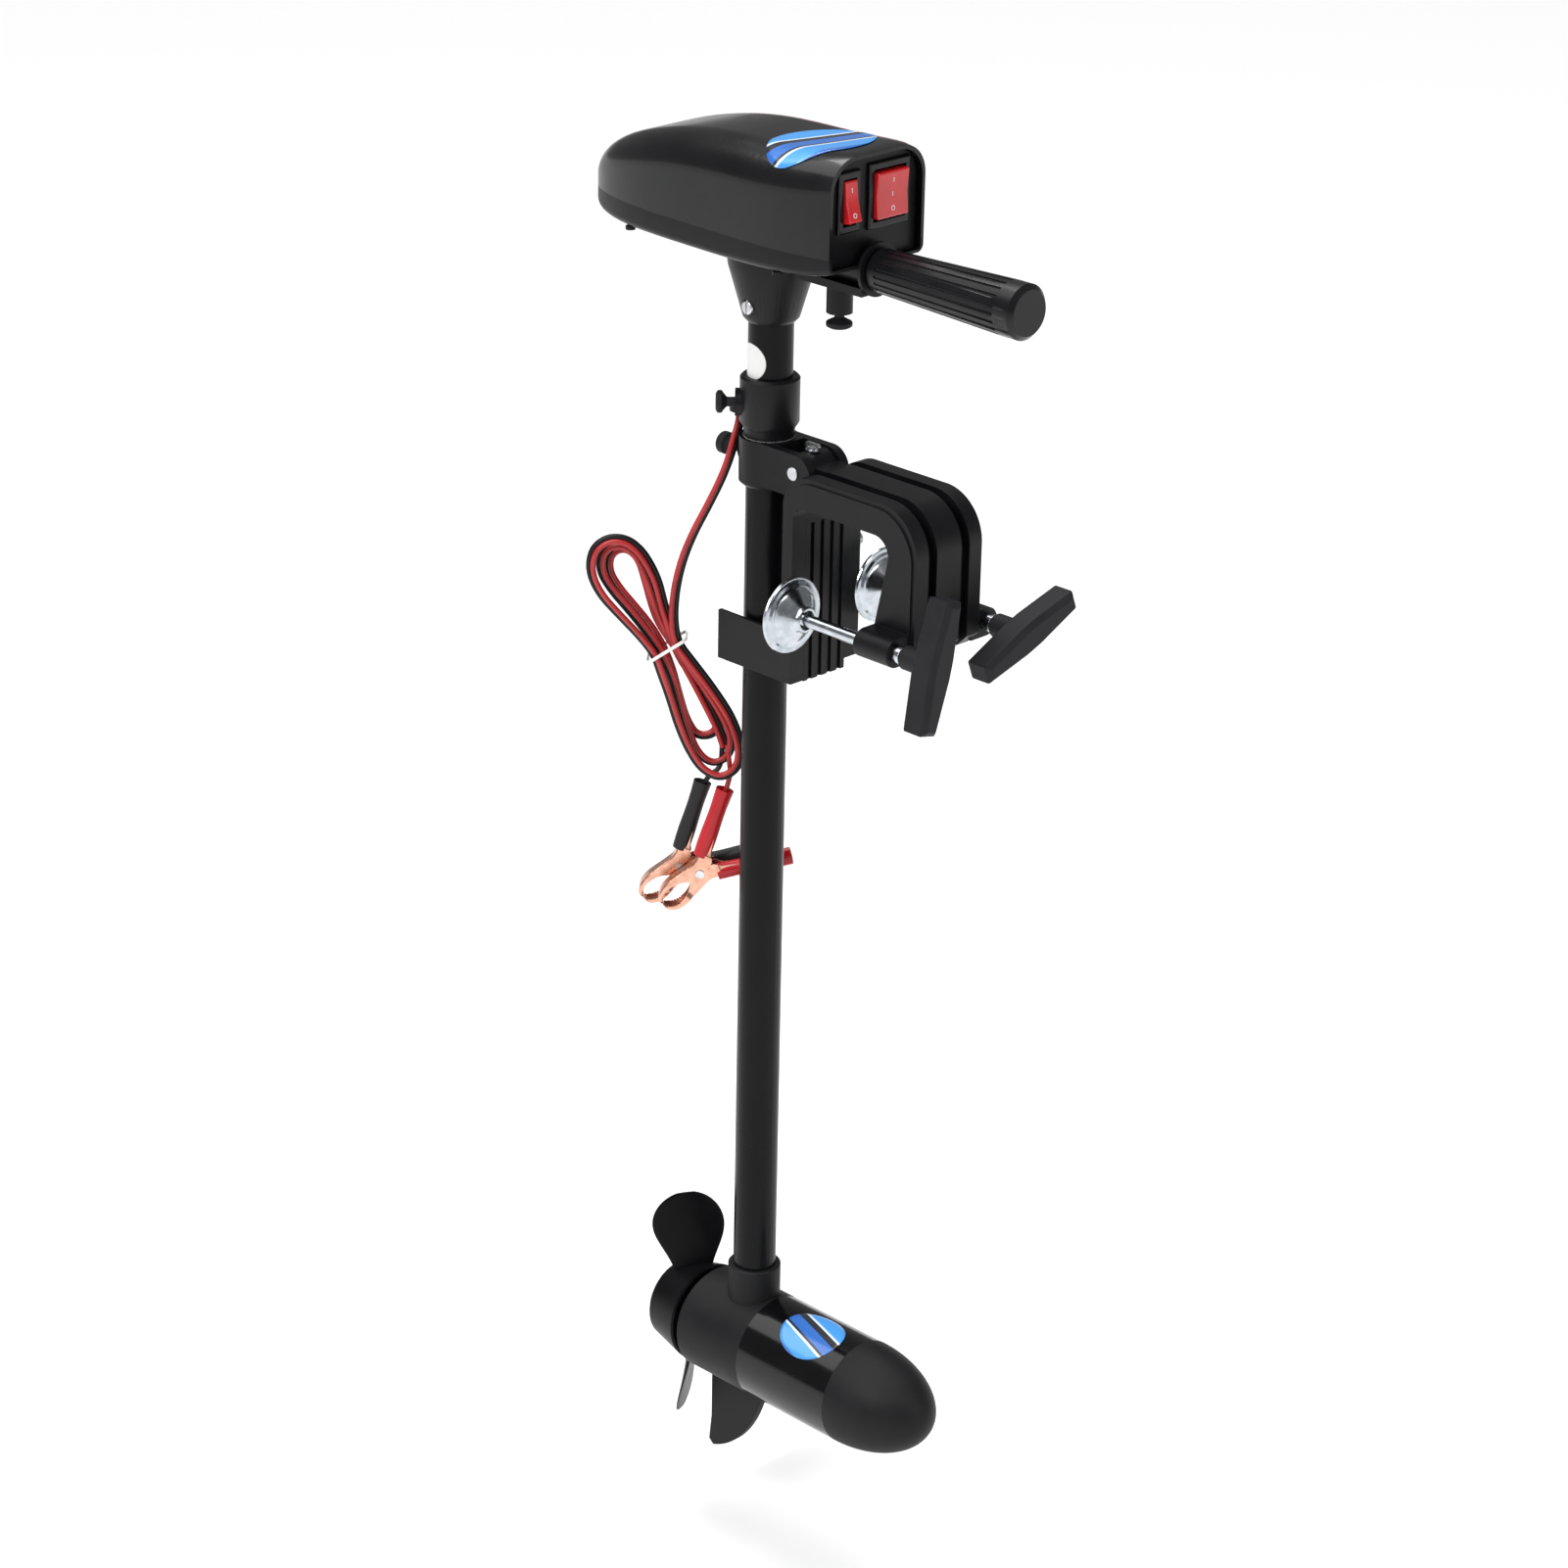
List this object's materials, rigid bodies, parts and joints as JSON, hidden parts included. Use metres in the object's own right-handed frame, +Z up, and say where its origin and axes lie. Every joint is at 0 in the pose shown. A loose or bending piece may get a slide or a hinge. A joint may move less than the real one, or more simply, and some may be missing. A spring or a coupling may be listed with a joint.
{
  "type": "trolling motor",
  "caption": "Transom-mount electric trolling motor: control head with tiller, tilting clamp bracket, steerable depth-adjustable shaft, submerged motor pod with propeller, cable and clips",
  "frame": {"origin": "Middle of the clamp seat: the face that rests on top of the boat transom, halfway across a 50 mm board.", "axes": "+Z up along the shaft tube, +X towards the boat and the tiller grip, +Y to port."},
  "size_m": [0.341, 0.1482, 0.9245],
  "materials": {
    "black_casting": "moulded glass-filled nylon, fine spark texture, satin",
    "black_gloss": "glossy black moulding",
    "black_soft": "matte soft-touch rubber",
    "black_tube": "satin black painted tube",
    "zinc": "bright zinc plate",
    "steel": "stainless steel",
    "copper": "copper plated sheet steel",
    "copper_bar": "copper",
    "iron": "laminated iron",
    "magnet": "sintered ferrite",
    "carbon": "carbon",
    "red_vinyl": "soft red vinyl",
    "black_vinyl": "soft black vinyl",
    "red_rocker": "translucent red switch rocker",
    "white_nylon": "white nylon",
    "acetal": "acetal bush"
  },
  "bodies": {
    "clamp": {"clamp_frame": "black_casting", "left_clamp_side": "black_casting", "right_clamp_side": "black_casting", "clamp_bolts": "steel", "shaft_rest": "black_casting", "screw_inserts": "copper_bar", "tilt_pin": "steel"},
    "left_cup": {"left_cup": "zinc"},
    "right_cup": {"right_cup": "zinc"},
    "left_screw": {"left_clamp_screw": "zinc", "left_t_handle": "black_soft"},
    "right_screw": {"right_clamp_screw": "zinc", "right_t_handle": "black_soft"},
    "tension_screw": {"tilt_tension_screw": "steel"},
    "pivot": {"pivot_sleeve": "black_casting", "sleeve_bush": "acetal", "power_cable": "black_vinyl", "cable_hank": "black_vinyl", "cable_tie": "white_nylon", "clip_leads": "black_vinyl", "black_clip": "copper", "red_clip": "copper", "clip_rivets": "steel"},
    "steering_knob": {"steering_knob": "black_soft"},
    "black_jaw": {"black_clip_jaw": "copper"},
    "red_jaw": {"red_clip_jaw": "copper"},
    "collar": {"depth_collar": "black_casting"},
    "collar_screw": {"collar_thumb_screw": "black_soft"},
    "shaft": {"shaft_tube": "black_tube", "motor_leads": "black_vinyl", "neck": "black_casting", "neck_bolt": "steel", "cowl_cover": "black_gloss", "cowl_base": "black_casting", "head_screws": "steel", "switch_panel": "black_casting", "direction_switch": "black_gloss", "speed_switch": "black_gloss", "cable_gland": "black_casting", "handle_bracket": "black_casting", "head_cable": "black_vinyl", "rear_cap": "black_casting", "motor_tube": "black_gloss", "nose_cone": "black_casting", "pod_seals": "black_soft", "through_bolts": "steel", "magnets": "magnet", "bearings": "steel", "brush_plate": "acetal", "brushes": "carbon"},
    "direction_rocker": {"direction_rocker": "red_rocker"},
    "speed_rocker": {"speed_rocker": "red_rocker"},
    "handle": {"handle_rod": "steel", "handle_grip": "black_soft"},
    "handle_screw": {"handle_thumb_screw": "black_soft"},
    "rotor": {"armature": "iron", "motor_shaft": "steel", "propeller": "black_casting", "shear_pin": "steel", "prop_nut": "steel"}
  },
  "joints": [
    {"name": "tilt", "type": "hinge", "parent": "clamp", "child": "pivot", "pos_m": [-0.0385, 0, 0.0145], "axis": [0, 1, 0], "range_deg": [0, 60]},
    {"name": "steer", "type": "hinge", "parent": "pivot", "child": "collar", "pos_m": [-0.076, 0, 0.02], "axis": [0, 0, 1], "range_deg": [-60, 60]},
    {"name": "depth", "type": "slide", "parent": "collar", "child": "shaft", "axis": [0, 0, 1], "range_m": [-0.03, 0.2], "deforming": ["head_cable"]},
    {"name": "handle_reach", "type": "slide", "parent": "shaft", "child": "handle", "axis": [1, 0, 0], "range_m": [0, 0.05]},
    {"name": "handle_screw_turn", "type": "hinge", "parent": "shaft", "child": "handle_screw", "pos_m": [-0.019, 0, 0.12], "axis": [0, 0, 1], "continuous": true},
    {"name": "collar_screw_turn", "type": "hinge", "parent": "collar", "child": "collar_screw", "pos_m": [-0.076, 0, 0.047], "axis": [-0.7133, -0.7009, 0], "continuous": true},
    {"name": "steering_knob_turn", "type": "hinge", "parent": "pivot", "child": "steering_knob", "pos_m": [-0.076, 0, 0.012], "axis": [-1, 0, 0], "continuous": true},
    {"name": "tension_screw_turn", "type": "hinge", "parent": "clamp", "child": "tension_screw", "pos_m": [-0.0385, 0, 0.024], "axis": [0, 0, 1], "continuous": true},
    {"name": "propeller_spin", "type": "hinge", "parent": "shaft", "child": "rotor", "pos_m": [-0.076, 0, -0.60475], "axis": [1, 0, 0], "continuous": true},
    {"name": "direction_switch_throw", "type": "hinge", "parent": "shaft", "child": "direction_rocker", "pos_m": [0.005, -0.021, 0.193], "axis": [0, 1, 0], "range_deg": [0, 22]},
    {"name": "speed_switch_throw", "type": "hinge", "parent": "shaft", "child": "speed_rocker", "pos_m": [0.005, 0.0125, 0.193], "axis": [0, 1, 0], "range_deg": [-10, 10]},
    {"name": "left_cup_travel", "type": "slide", "parent": "clamp", "child": "left_cup", "axis": [1, 0, 0], "range_m": [-0.0009, 0.0418]},
    {"name": "left_screw_turn", "type": "hinge", "parent": "left_cup", "child": "left_screw", "pos_m": [0.075, 0.0395, -0.064], "axis": [1, 0, 0], "range_deg": [-240, 12000]},
    {"name": "right_cup_travel", "type": "slide", "parent": "clamp", "child": "right_cup", "axis": [1, 0, 0], "range_m": [-0.0009, 0.0418]},
    {"name": "right_screw_turn", "type": "hinge", "parent": "right_cup", "child": "right_screw", "pos_m": [0.075, -0.0395, -0.064], "axis": [1, 0, 0], "range_deg": [-240, 12000]},
    {"name": "black_clip_squeeze", "type": "hinge", "parent": "pivot", "child": "black_jaw", "pos_m": [-0.14051, -0.01012, -0.2785], "axis": [0.7009, -0.7133, 0], "range_deg": [0, 24], "stiffness_Nm_per_rad": 1.2, "springref_deg": -17.19},
    {"name": "red_clip_squeeze", "type": "hinge", "parent": "pivot", "child": "red_jaw", "pos_m": [-0.12177, -0.00992, -0.2778], "axis": [0.7009, -0.7133, 0], "range_deg": [0, 24], "stiffness_Nm_per_rad": 1.2, "springref_deg": -17.19}
  ],
  "couplings": [
    {"joint": "left_cup_travel", "follows": "left_screw_turn", "m_per_rad": 0.00019894},
    {"joint": "right_cup_travel", "follows": "right_screw_turn", "m_per_rad": 0.00019894}
  ]
}
